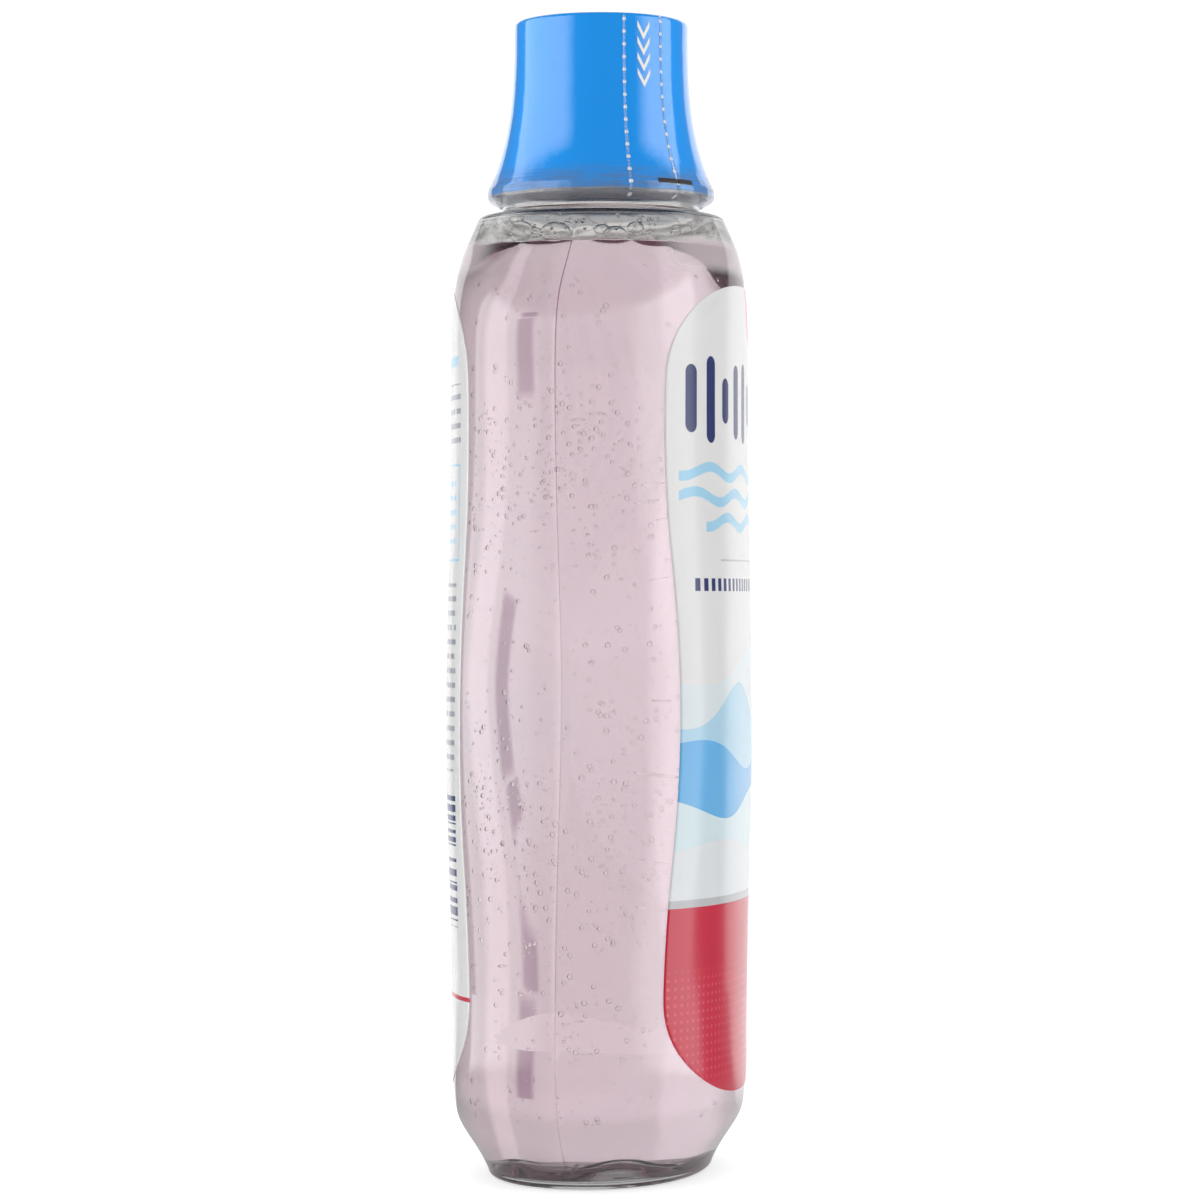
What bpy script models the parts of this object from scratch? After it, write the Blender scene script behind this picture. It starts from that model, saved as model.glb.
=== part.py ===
# A mouthwash bottle: a clear waisted bottle with a screwed dosing cap, a shrink sleeve with a
# tear strip over the cap, and a label on each face. Metres, +Z up, the front label faces -Y.
import math

import bmesh
import bpy
import numpy as np
from mathutils import Vector

# Clearances and film thicknesses
SEAT_CLEARANCE = 0.0003
LIQUID_CLEARANCE = 0.0003
LABEL_CLEARANCE = 0.0003
LABEL_THICKNESS = 0.00015
FILM_CLEARANCE = 0.0002
FILM_THICKNESS = 0.00015

# Bottle body
BODY_WIDTH = 0.0780
BODY_DEPTH = 0.0536
BODY_HEIGHT = 0.1695
BODY_WALL = 0.0006
BASE_WALL = 0.0009
FOOT_ROUND = 0.0012
STANDING_RING_WIDTH = 0.0016
PUSH_UP_HEIGHT = 0.0050
LIQUID_BELOW_DRUM = 0.0005

# Height up the body, half width, half depth, and the section's squareness (2 is an ellipse)
BODY_SHARES = (
    (0.000, 0.762, 0.746, 2.15),
    (0.017, 0.800, 0.799, 2.15),
    (0.036, 0.860, 0.880, 2.12),
    (0.054, 0.915, 0.950, 2.10),
    (0.080, 0.962, 0.971, 2.10),
    (0.160, 1.000, 0.978, 2.10),
    (0.274, 0.982, 0.986, 2.20),
    (0.440, 0.890, 1.000, 2.60),
    (0.520, 0.862, 1.000, 2.70),
    (0.610, 0.896, 0.996, 2.50),
    (0.715, 0.968, 0.992, 2.20),
    (0.815, 1.000, 0.990, 2.10),
    (0.880, 0.998, 0.990, 2.10),
    (0.914, 0.972, 0.990, 2.10),
    (0.943, 0.908, 0.986, 2.10),
    (0.966, 0.808, 0.979, 2.10),
    (0.984, 0.716, 0.966, 2.05),
)
# Scale and rise of the domed push-up under the base, from its middle to the standing ring
PUSH_UP_SHARES = ((0.30, 0.96), (0.55, 0.82), (0.76, 0.55), (0.90, 0.22))

# Shoulder drum, collar and neck
DRUM_TAPER = 0.0023
DRUM_HEIGHT = 0.0062
DRUM_ROUND = 0.0011
LEDGE_WIDTH = 0.0046
LEDGE_RISE = 0.0004
COLLAR_RADIUS = 0.0183
COLLAR_FILLET = 0.0010
COLLAR_HEIGHT = 0.0049
COLLAR_ROUND = 0.0008
CONE_HEIGHT = 0.0050
SHOULDER_WALL = 0.0010
NECK_RADIUS = 0.0109
NECK_LENGTH = 0.02255
NECK_WALL = 0.0015
LIP_ROUND = 0.0003

# Screw thread
THREAD_PITCH = 0.003175
THREAD_TURNS = 1.5
THREAD_DEPTH = 0.00105
THREAD_ROOT_WIDTH = 0.0011
THREAD_CREST_WIDTH = 0.0006
THREAD_EMBED = 0.0003
THREAD_RUN_OUT_DEG = 40.0
THREAD_BELOW_LIP = 0.0035
THREAD_CLEARANCE = 0.0003

# Dosing cap
RIM_ABOVE_LEDGE = 0.0033
RIM_SIDE_CLEARANCE = 0.0015
RIM_BAND_DEPTH = 0.00055
CUP_GAP = 0.00165
FLARE_POWER = 3.0
CAP_RIM_ROUND = 0.0003
CAP_TOP_ROUND = 0.0008
CAP_WALL = 0.0010
CAP_INNER_FILLET = 0.0006
DECK_THICKNESS = 0.0013
SKIRT_WALL = 0.0011
SKIRT_ABOVE_CONE = 0.0050
LINER_THICKNESS = 0.0012
LINER_SIDE_CLEARANCE = 0.0004

# Shrink sleeve and its tear strip
SLEEVE_LIP = 0.0026
SLEEVE_ABOVE_FILLET = 0.0005
SLEEVE_TUCK_CLEARANCE = 0.0004
SLEEVE_HEEL_DROP = 0.0005
STRIP_START_DEG = 207.0
STRIP_END_DEG = 234.0
PERFORATION_GAP = 0.0003

# Labels
LABEL_BELOW_DRUM = 0.0070
LABEL_BOTTOM = 0.0153
LABEL_CORNER = 0.0195
LABEL_CORNER_POWER = 2.3
LABEL_END_DEG = 82.0
# Height up the label between its corners, and its half width as a share of the body's half width
LABEL_WIDTH_SHARES = ((0.0, 0.770), (0.25, 0.775), (0.5, 0.797), (0.75, 0.780), (1.0, 0.762))

# Facets
SEGMENTS = 32
ARC_STEPS = 3
ROW_SPACING = 0.0095
CAP_ROWS = 8
CAP_ROW_BUNCHING = 1.4
LABEL_COLUMNS = 12
LABEL_SPREAD_DEG = 60.0
LABEL_ROWS = 8
LABEL_CORNER_STEPS = 4
THREAD_STEPS_PER_TURN = 24
SMOOTH_ANGLE_DEG = 35.0

# Radii and heights that follow from the sizes above
DRUM_TOP_RADIUS = COLLAR_RADIUS + LEDGE_WIDTH
DRUM_RADIUS = DRUM_TOP_RADIUS + DRUM_TAPER
SKIRT_RADIUS = NECK_RADIUS + THREAD_DEPTH + THREAD_CLEARANCE
CAP_TOP_RADIUS = SKIRT_RADIUS + SKIRT_WALL + CUP_GAP + CAP_WALL
CAP_RIM_RADIUS = COLLAR_RADIUS + RIM_SIDE_CLEARANCE + CAP_WALL
CAP_FLARE = CAP_RIM_RADIUS + RIM_BAND_DEPTH - CAP_TOP_RADIUS
LIQUID_LEVEL = BODY_HEIGHT - LIQUID_BELOW_DRUM
LABEL_TOP = BODY_HEIGHT - LABEL_BELOW_DRUM
DRUM_TOP = BODY_HEIGHT + DRUM_HEIGHT
COLLAR_BASE = DRUM_TOP + LEDGE_RISE
COLLAR_TOP = COLLAR_BASE + COLLAR_HEIGHT
CONE_TOP = COLLAR_TOP + CONE_HEIGHT
LIP_TOP = CONE_TOP + NECK_LENGTH
LINER_BASE = LIP_TOP + SEAT_CLEARANCE
DECK_UNDERSIDE = LINER_BASE + LINER_THICKNESS + SEAT_CLEARANCE
CAP_TOP = DECK_UNDERSIDE + DECK_THICKNESS
CAP_RIM = COLLAR_BASE + RIM_ABOVE_LEDGE
CAP_HEIGHT = CAP_TOP - CAP_RIM
SLEEVE_TUCK_DROP = RIM_ABOVE_LEDGE - COLLAR_FILLET - SLEEVE_ABOVE_FILLET
THREAD_START = LIP_TOP - THREAD_BELOW_LIP - THREAD_PITCH * THREAD_TURNS


def clear_scene():
    for item in list(bpy.data.objects):
        bpy.data.objects.remove(item, do_unlink=True)


def make_material(name, colour, roughness, alpha=1.0, transmission=0.0):
    material = bpy.data.materials.new(name)
    material.use_nodes = True
    shader = material.node_tree.nodes["Principled BSDF"]
    shader.inputs["Base Color"].default_value = (*colour, 1.0)
    shader.inputs["Roughness"].default_value = roughness
    shader.inputs["Metallic"].default_value = 0.0
    shader.inputs["Alpha"].default_value = alpha
    shader.inputs["Transmission Weight"].default_value = transmission
    return material


def make_empty(name, location):
    empty = bpy.data.objects.new(name, None)
    empty.location = location
    bpy.context.collection.objects.link(empty)
    return empty


def make_object(name, mesh_data, material, parent=None):
    mesh = bpy.data.meshes.new(name)
    bmesh.ops.recalc_face_normals(mesh_data, faces=mesh_data.faces)
    mesh_data.to_mesh(mesh)
    mesh_data.free()
    mesh.materials.append(material)
    mesh.shade_smooth()
    mesh.set_sharp_from_angle(angle=math.radians(SMOOTH_ANGLE_DEG))
    item = bpy.data.objects.new(name, mesh)
    item.parent = parent
    bpy.context.collection.objects.link(item)
    return item


def bridge(mesh_data, first, second, closed=True):
    """Quads between two rows of as many vertices."""
    count = len(first) if closed else len(first) - 1
    for i in range(count):
        j = (i + 1) % len(first)
        mesh_data.faces.new((first[i], first[j], second[j], second[i]))


def loft_between_poles(rings, start_height, end_height):
    """A closed body through the rings, shut by a fan to a point on the axis at each end."""
    mesh_data = bmesh.new()
    rows = [[mesh_data.verts.new(point) for point in ring] for ring in rings]
    for first, second in zip(rows, rows[1:]):
        bridge(mesh_data, first, second)
    for row, height in ((rows[0], start_height), (rows[-1], end_height)):
        pole = mesh_data.verts.new((0.0, 0.0, height))
        for i, vertex in enumerate(row):
            mesh_data.faces.new((pole, vertex, row[(i + 1) % len(row)]))
    return mesh_data


def sweep_profile(profile, angles):
    """A closed (radius, height) profile turned through the angles, with a face on each end."""
    mesh_data = bmesh.new()
    rows = []
    for angle in angles:
        direction = (math.cos(angle), math.sin(angle))
        rows.append([mesh_data.verts.new((r * direction[0], r * direction[1], z)) for r, z in profile])
    for first, second in zip(rows, rows[1:]):
        bridge(mesh_data, first, second)
    for row in (rows[0], rows[-1]):
        half = len(row) // 2
        for i in range(half - 1):
            mesh_data.faces.new((row[i], row[i + 1], row[-i - 2], row[-i - 1]))
    return mesh_data


def arc(centre, radius, start_deg, end_deg, steps=ARC_STEPS):
    """Points (radius, height) along a round between two directions."""
    angles = np.radians(np.linspace(start_deg, end_deg, steps + 1))
    return [(centre[0] + radius * math.cos(a), centre[1] + radius * math.sin(a)) for a in angles]


def round_ring(radius, height):
    angles = [math.tau * i / SEGMENTS for i in range(SEGMENTS)]
    return [(radius * math.cos(a), radius * math.sin(a), height) for a in angles]


def oval_ring(half_width, half_depth, squareness, height):
    """A superellipse: an ellipse with fuller corners where its squareness is over 2."""
    ring = []
    for i in range(SEGMENTS):
        angle = math.tau * i / SEGMENTS
        cosine, sine = math.cos(angle), math.sin(angle)
        x = half_width * math.copysign(abs(cosine) ** (2 / squareness), cosine)
        y = half_depth * math.copysign(abs(sine) ** (2 / squareness), sine)
        ring.append((x, y, height))
    return ring


def station_curves():
    """Heights of the body's stations, with their sizes and the smooth slopes through them."""
    shares = np.array(BODY_SHARES + ((1.0, 0.0, 0.0, 2.0),))
    heights = FOOT_ROUND + shares[:, 0] * (BODY_HEIGHT - FOOT_ROUND)
    sizes = shares[:, 1:] * (BODY_WIDTH / 2, BODY_DEPTH / 2, 1.0)
    sizes[-1, :2] = DRUM_RADIUS
    slopes = np.gradient(sizes, heights, axis=0)
    return heights, sizes, slopes


def body_size(height):
    """Half width, half depth and squareness at a height, on a smooth curve through the stations."""
    heights, sizes, slopes = station_curves()
    index = int(np.clip(np.searchsorted(heights, height) - 1, 0, len(heights) - 2))
    span = heights[index + 1] - heights[index]
    t = (height - heights[index]) / span
    start = (2 * t**3 - 3 * t**2 + 1) * sizes[index] + (t**3 - 2 * t**2 + t) * span * slopes[index]
    end = (3 * t**2 - 2 * t**3) * sizes[index + 1] + (t**3 - t**2) * span * slopes[index + 1]
    return start + end


def body_rings(inset, floor, top):
    """Rings from the middle of the base up to a height, each set in from the outer surface."""
    foot_width, foot_depth, squareness = body_size(FOOT_ROUND)
    ring_inset = FOOT_ROUND + STANDING_RING_WIDTH
    ring_width, ring_depth = foot_width - ring_inset, foot_depth - ring_inset
    rings = []
    for scale, rise in PUSH_UP_SHARES:
        height = floor + PUSH_UP_HEIGHT * rise
        rings.append(oval_ring(ring_width * scale, ring_depth * scale, squareness, height))
    rings.append(oval_ring(ring_width, ring_depth, squareness, floor))
    for out, height in arc((0.0, floor + FOOT_ROUND), FOOT_ROUND, -90, 0):
        edge = inset + FOOT_ROUND - out
        rings.append(oval_ring(foot_width - edge, foot_depth - edge, squareness, height))
    heights = station_curves()[0]
    for low, high in zip(heights, heights[1:]):
        steps = math.ceil((high - low) / ROW_SPACING)
        for step in range(1, steps + 1):
            height = low + (high - low) * step / steps
            if floor + FOOT_ROUND < height < top:
                width, depth, shape = body_size(height)
                rings.append(oval_ring(width - inset, depth - inset, shape, height))
    width, depth, shape = body_size(top)
    rings.append(oval_ring(width - inset, depth - inset, shape, top))
    return rings


def shoulder_profile():
    """Outside of the drum, its ledge, the collar and the neck, up to the lip and over it."""
    bore = NECK_RADIUS - NECK_WALL
    fillet_centre = (COLLAR_RADIUS + COLLAR_FILLET, COLLAR_BASE + COLLAR_FILLET)
    profile = arc((DRUM_TOP_RADIUS - DRUM_ROUND, DRUM_TOP - DRUM_ROUND), DRUM_ROUND, 15, 90)
    profile += arc(fillet_centre, COLLAR_FILLET, 270, 180)
    profile += arc((COLLAR_RADIUS - COLLAR_ROUND, COLLAR_TOP - COLLAR_ROUND), COLLAR_ROUND, 0, 50)
    profile += [(NECK_RADIUS, CONE_TOP), (NECK_RADIUS, LIP_TOP - LIP_ROUND)]
    profile += [(NECK_RADIUS - LIP_ROUND, LIP_TOP), (bore + LIP_ROUND, LIP_TOP)]
    return profile + [(bore, LIP_TOP - LIP_ROUND)]


def shoulder_bore():
    """Inside of the neck, cone, collar and drum, from the lip down to the body."""
    bore = NECK_RADIUS - NECK_WALL
    cone_foot = COLLAR_TOP - SHOULDER_WALL - COLLAR_ROUND
    return [
        (bore, CONE_TOP - SHOULDER_WALL),
        (COLLAR_RADIUS - SHOULDER_WALL, cone_foot),
        (COLLAR_RADIUS - SHOULDER_WALL, COLLAR_BASE - SHOULDER_WALL),
        (DRUM_TOP_RADIUS - SHOULDER_WALL, DRUM_TOP - SHOULDER_WALL),
    ]


def helical_ridge(name, root_radius, crest_radius, start_height, parent=None):
    """A trapezoid ridge on a right-hand helix, sunk into its wall and fading out at both ends."""
    steps = round(THREAD_STEPS_PER_TURN * THREAD_TURNS)
    whole_angle = math.tau * THREAD_TURNS
    run_out = math.radians(THREAD_RUN_OUT_DEG)
    sunk_radius = root_radius - math.copysign(THREAD_EMBED, crest_radius - root_radius)
    mesh_data = bmesh.new()
    rows = []
    for step in range(1, steps):
        angle = whole_angle * step / steps
        fade = min(1.0, angle / run_out, (whole_angle - angle) / run_out)
        top = sunk_radius + (crest_radius - sunk_radius) * fade
        middle = start_height + THREAD_PITCH * THREAD_TURNS * step / steps
        section = (
            (sunk_radius, -THREAD_ROOT_WIDTH / 2),
            (top, -THREAD_CREST_WIDTH / 2),
            (top, THREAD_CREST_WIDTH / 2),
            (sunk_radius, THREAD_ROOT_WIDTH / 2),
        )
        direction = Vector((math.cos(angle), math.sin(angle), 0.0))
        points = [direction * r + Vector((0.0, 0.0, middle + z)) for r, z in section]
        rows.append([mesh_data.verts.new(point) for point in points])
    for first, second in zip(rows, rows[1:]):
        bridge(mesh_data, first, second)
    mesh_data.faces.new(rows[0])
    mesh_data.faces.new(rows[-1])
    ridge = make_object(name, mesh_data, make_material(name, (0.5, 0.5, 0.5), 0.5), parent)
    ridge.hide_render = True
    ridge.display_type = "WIRE"
    return ridge


def fuse(item, extra):
    union = item.modifiers.new("thread", "BOOLEAN")
    union.operation = "UNION"
    union.solver = "EXACT"
    union.object = extra


def build_bottle():
    outside = body_rings(0.0, 0.0, BODY_HEIGHT)
    inside = body_rings(BODY_WALL, BASE_WALL, BODY_HEIGHT)
    shoulder = [round_ring(radius, height) for radius, height in shoulder_profile() + shoulder_bore()]
    rings = outside + shoulder + inside[::-1]
    mesh_data = loft_between_poles(rings, PUSH_UP_HEIGHT, PUSH_UP_HEIGHT + BASE_WALL)
    clear_plastic = make_material("clear_bottle", (0.93, 0.95, 0.96), 0.05, 0.3, 0.9)
    bottle = make_object("bottle", mesh_data, clear_plastic)
    crest = NECK_RADIUS + THREAD_DEPTH
    fuse(bottle, helical_ridge("neck_thread", NECK_RADIUS, crest, THREAD_START))


def build_mouthwash():
    inset = BODY_WALL + LIQUID_CLEARANCE
    floor = BASE_WALL + LIQUID_CLEARANCE
    rings = body_rings(inset, floor, LIQUID_LEVEL)
    mesh_data = loft_between_poles(rings, floor + PUSH_UP_HEIGHT, LIQUID_LEVEL)
    pink = make_material("pink_liquid", (0.72, 0.50, 0.60), 0.03, 0.8, 0.9)
    make_object("mouthwash", mesh_data, pink)


def label_outline():
    """Rows (height, half width) of the waisted label, from its bottom edge to its top edge."""
    low, high = LABEL_BOTTOM + LABEL_CORNER, LABEL_TOP - LABEL_CORNER
    spots, shares = zip(*LABEL_WIDTH_SHARES)
    middle = []
    for height in np.linspace(low, high, LABEL_ROWS + 1):
        share = np.interp((height - low) / (high - low), spots, shares)
        middle.append((height, share * body_size(height)[0]))
    corner = []
    for angle in np.radians(np.linspace(0, LABEL_END_DEG, LABEL_CORNER_STEPS + 1)[1:]):
        rise = LABEL_CORNER * math.sin(angle) ** (2 / LABEL_CORNER_POWER)
        corner.append((rise, math.cos(angle) ** (2 / LABEL_CORNER_POWER)))
    below = [(low - rise, middle[0][1] * share) for rise, share in reversed(corner)]
    above = [(high + rise, middle[-1][1] * share) for rise, share in corner]
    return below + middle + above


def label_row(mesh_data, height, half_width, side, offset):
    """Points across a label at one height, on the body's own section grown by the offset."""
    width, depth, squareness = body_size(height)
    row = []
    spread = math.radians(LABEL_SPREAD_DEG)
    for angle in np.linspace(-spread, spread, LABEL_COLUMNS + 1):
        x = half_width * math.sin(angle) / math.sin(spread)
        reach = 1 - (abs(x) / (width + offset)) ** squareness
        y = side * (depth + offset) * reach ** (1 / squareness)
        row.append(mesh_data.verts.new((x, y, height)))
    return row


def build_label(name, side, colour):
    mesh_data = bmesh.new()
    backs, fronts = [], []
    for height, half_width in label_outline():
        backs.append(label_row(mesh_data, height, half_width, side, LABEL_CLEARANCE))
        reach = LABEL_CLEARANCE + LABEL_THICKNESS
        fronts.append(label_row(mesh_data, height, half_width, side, reach))
    for rows in (backs, fronts):
        for first, second in zip(rows, rows[1:]):
            bridge(mesh_data, first, second, closed=False)
    for i in (0, -1):
        bridge(mesh_data, backs[i], fronts[i], closed=False)
        bridge(mesh_data, [row[i] for row in backs], [row[i] for row in fronts], closed=False)
    make_object(name, mesh_data, make_material(name + "_film", colour, 0.35))


def cap_radius(height):
    """Outer radius of the cap at a height above its rim: a cup that flares to a straight band."""
    flare = CAP_FLARE * (1 - height / CAP_HEIGHT) ** FLARE_POWER
    return min(CAP_TOP_RADIUS + flare, CAP_RIM_RADIUS)


def cap_side(low, high, rows, offset):
    """Points up the flared side between two heights, closer together near the rim."""
    heights = [low + (high - low) * (i / rows) ** CAP_ROW_BUNCHING for i in range(rows + 1)]
    return [(cap_radius(height) + offset, height) for height in heights]


def build_cap(axis):
    deck_underside = CAP_HEIGHT - DECK_THICKNESS
    skirt_foot = CONE_TOP + SKIRT_ABOVE_CONE - CAP_RIM
    skirt_outside = SKIRT_RADIUS + SKIRT_WALL
    fillet_height = deck_underside - CAP_INNER_FILLET
    rim_centre = (cap_radius(0.0) - CAP_RIM_ROUND, CAP_RIM_ROUND)
    top_centre = (CAP_TOP_RADIUS - CAP_TOP_ROUND, CAP_HEIGHT - CAP_TOP_ROUND)
    outside = arc(rim_centre, CAP_RIM_ROUND, -90, 0, 2)
    outside += cap_side(CAP_RIM_ROUND, top_centre[1], CAP_ROWS, 0.0)[1:-1]
    outside += arc(top_centre, CAP_TOP_ROUND, 0, 90)
    cup = cap_side(0.0, fillet_height, CAP_ROWS, -CAP_WALL)
    cup.append((cap_radius(fillet_height) - CAP_WALL - CAP_INNER_FILLET, deck_underside))
    skirt = [
        (skirt_outside, deck_underside),
        (skirt_outside, skirt_foot),
        (SKIRT_RADIUS, skirt_foot),
        (SKIRT_RADIUS, deck_underside),
    ]
    profile = outside[::-1] + cup + skirt
    rings = [round_ring(radius, height) for radius, height in profile]
    mesh_data = loft_between_poles(rings, CAP_HEIGHT, deck_underside)
    blue = make_material("blue_cap", (0.01, 0.22, 0.72), 0.25)
    cap = make_object("dosing_cap", mesh_data, blue, axis)
    thread_height = THREAD_START - THREAD_PITCH / 2 - CAP_RIM
    crest = SKIRT_RADIUS - THREAD_DEPTH
    fuse(cap, helical_ridge("cap_thread", SKIRT_RADIUS, crest, thread_height, axis))


def build_liner(axis):
    radius = SKIRT_RADIUS - LINER_SIDE_CLEARANCE
    low = LINER_BASE - CAP_RIM
    rings = [round_ring(radius, low), round_ring(radius, low + LINER_THICKNESS)]
    mesh_data = loft_between_poles(rings, low, low + LINER_THICKNESS)
    make_object("cap_liner", mesh_data, make_material("white_foam", (0.85, 0.85, 0.83), 0.7), axis)


def film_profile():
    """Closed section of the film: over the cap's top edge, down its side and in under the rim."""
    far = FILM_CLEARANCE + FILM_THICKNESS
    top_centre = (CAP_TOP_RADIUS - CAP_TOP_ROUND, CAP_HEIGHT - CAP_TOP_ROUND)
    lip_radius = CAP_TOP_RADIUS - SLEEVE_LIP
    tuck_radius = COLLAR_RADIUS + SLEEVE_TUCK_CLEARANCE
    layers = []
    for offset in (FILM_CLEARANCE, far):
        layer = [(lip_radius, CAP_HEIGHT + offset)]
        layer += arc(top_centre, CAP_TOP_ROUND + offset, 90, 0)
        layer += cap_side(0.0, top_centre[1], CAP_ROWS, offset)[-2::-1]
        layer.append((cap_radius(0.0) + offset - FILM_CLEARANCE, -SLEEVE_HEEL_DROP - offset))
        layer.append((tuck_radius + offset, -SLEEVE_TUCK_DROP))
        layers.append(layer)
    return layers[0] + layers[1][::-1]


def build_sleeve(axis):
    half_gap = PERFORATION_GAP / 2 / CAP_TOP_RADIUS
    start, end = math.radians(STRIP_START_DEG), math.radians(STRIP_END_DEG)
    grid = [math.tau * i / SEGMENTS for i in range(2 * SEGMENTS)]
    strip_angles = [start + half_gap, *[a for a in grid if start + half_gap < a < end - half_gap]]
    strip_angles.append(end - half_gap)
    far_end = start + math.tau - half_gap
    sleeve_angles = [end + half_gap, *[a for a in grid if end + half_gap < a < far_end], far_end]
    film = (0.80, 0.86, 0.92)
    sleeve = sweep_profile(film_profile(), sleeve_angles)
    make_object("neck_sleeve", sleeve, make_material("clear_sleeve", film, 0.1, 0.25, 0.9), axis)
    strip = sweep_profile(film_profile(), strip_angles)
    make_object("tear_strip", strip, make_material("clear_strip", film, 0.15, 0.3, 0.9), axis)


def main():
    clear_scene()
    build_bottle()
    build_mouthwash()
    build_label("front_label", -1, (0.88, 0.88, 0.86))
    build_label("back_label", 1, (0.88, 0.88, 0.86))
    cap_axis = make_empty("cap_axis", (0.0, 0.0, CAP_RIM))
    build_cap(cap_axis)
    build_liner(cap_axis)
    build_sleeve(cap_axis)


main()
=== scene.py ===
import random
import bmesh
import bpy
import numpy as np
from math import atan2, copysign, cos, degrees, exp, pi, radians, sin, tau
from mathutils import Matrix, Vector


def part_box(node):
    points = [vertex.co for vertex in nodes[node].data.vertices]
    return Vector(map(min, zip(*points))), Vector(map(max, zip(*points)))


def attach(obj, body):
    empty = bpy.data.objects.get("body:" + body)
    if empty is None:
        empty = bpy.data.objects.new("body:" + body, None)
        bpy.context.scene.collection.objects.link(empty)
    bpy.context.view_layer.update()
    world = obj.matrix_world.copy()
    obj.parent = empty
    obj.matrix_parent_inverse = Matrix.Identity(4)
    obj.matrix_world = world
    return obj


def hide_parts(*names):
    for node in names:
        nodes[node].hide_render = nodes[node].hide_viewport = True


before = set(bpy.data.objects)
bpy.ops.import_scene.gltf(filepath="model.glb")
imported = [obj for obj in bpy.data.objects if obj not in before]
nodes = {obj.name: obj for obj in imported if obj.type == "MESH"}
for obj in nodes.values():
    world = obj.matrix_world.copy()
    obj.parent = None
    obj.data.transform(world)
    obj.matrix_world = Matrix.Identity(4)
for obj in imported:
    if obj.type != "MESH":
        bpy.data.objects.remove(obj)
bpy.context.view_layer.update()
scene = bpy.context.scene
print("frame loaded:", sorted(nodes))


class Reading:
    # a node's output, which takes part in sums as a number does
    def __init__(self, bench, socket):
        self.bench = bench
        self.socket = socket

    def __add__(self, other):
        return self.bench.math("ADD", self, other)

    def __sub__(self, other):
        return self.bench.math("SUBTRACT", self, other)

    def __rsub__(self, other):
        return self.bench.math("SUBTRACT", other, self)

    def __mul__(self, other):
        return self.bench.math("MULTIPLY", self, other)

    def __truediv__(self, other):
        return self.bench.math("DIVIDE", self, other)

    def __abs__(self):
        return self.bench.math("ABSOLUTE", self)

    __radd__ = __add__
    __rmul__ = __mul__


class NodeBench:
    # short ways to lay out the nodes of one material or world
    def __init__(self, tree):
        self.nodes = tree.nodes
        self.links = tree.links
        self.shader = tree.nodes.get("Principled BSDF")

    def join(self, value, socket):
        if isinstance(value, Reading):
            self.links.new(value.socket, socket)
        elif socket.type == "RGBA":
            socket.default_value = (*value, 1.0)
        else:
            socket.default_value = value

    def fill(self, node, inputs):
        for name, value in inputs.items():
            self.join(value, node.inputs[name])

    def add(self, kind, output=0, inputs=None, **settings):
        node = self.nodes.new("ShaderNode" + kind)
        for name, value in settings.items():
            setattr(node, name, value)
        self.fill(node, inputs or {})
        return Reading(self, node.outputs[output])

    def finish(self, inputs):
        self.fill(self.shader, inputs)

    def math(self, operation, *values):
        return self.add("Math", 0, dict(enumerate(values)), operation=operation)

    def vector(self, operation, output, *values):
        return self.add("VectorMath", output, dict(enumerate(values)), operation=operation)

    def most(self, *values):
        return self.math("MAXIMUM", *values)

    def between(self, share, low, high):
        return share * (high - low) + low

    def ramp(self, value, low, high):
        return self.add("MapRange", 0, {"Value": value, "From Min": low, "From Max": high},
                        interpolation_type="SMOOTHSTEP")

    def window(self, value, low, high, soft):
        return self.ramp(value, low - soft, low + soft) * self.ramp(value, high + soft, high - soft)

    def mix(self, factor, under, over):
        # the colour inputs and output of a Mix node are its 6th, 7th and 2nd sockets
        return self.add("Mix", 2, {0: factor, 6: under, 7: over}, data_type="RGBA")

    def lay(self, share, ink):
        # a label's ink, printed over what is there
        self.colour = self.mix(share, self.colour, printInks[ink])

    def split(self, vector):
        node = self.add("SeparateXYZ", 0, {0: vector}).socket.node
        return [Reading(self, socket) for socket in node.outputs]

    def uv(self):
        return self.split(self.add("UVMap", uv_map="UVMap"))[:2]

    def spot(self):
        return self.add("TexCoord", "Object")

    def place(self):
        return self.split(self.spot())


# Camera at the photo's angle: from the narrow left side, turned a little to the front label
cameraSetup = {
    "distance": 0.740, "height": 0.105, "turnedToFrontDeg": 12.0, "lensMm": 119.85,
    "sensorMm": 36.0, "acrossOffset": -0.0002,
}
cameraTurn = radians(cameraSetup["turnedToFrontDeg"])
towardCamera = Vector((-cos(cameraTurn), -sin(cameraTurn), 0.0))
acrossView = Vector((sin(cameraTurn), -cos(cameraTurn), 0.0))


def addCamera():
    data = bpy.data.cameras.new("camera")
    data.lens = cameraSetup["lensMm"]
    data.sensor_width = cameraSetup["sensorMm"]
    data.clip_start = 0.01
    data.clip_end = 100.0
    camera = bpy.data.objects.new("camera", data)
    scene.collection.objects.link(camera)
    camera.location = towardCamera * cameraSetup["distance"] + acrossView * cameraSetup["acrossOffset"]
    camera.location.z = cameraSetup["height"]
    camera.rotation_mode = "QUATERNION"
    camera.rotation_quaternion = (-towardCamera).to_track_quat("-Z", "Y")
    scene.camera = camera


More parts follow.
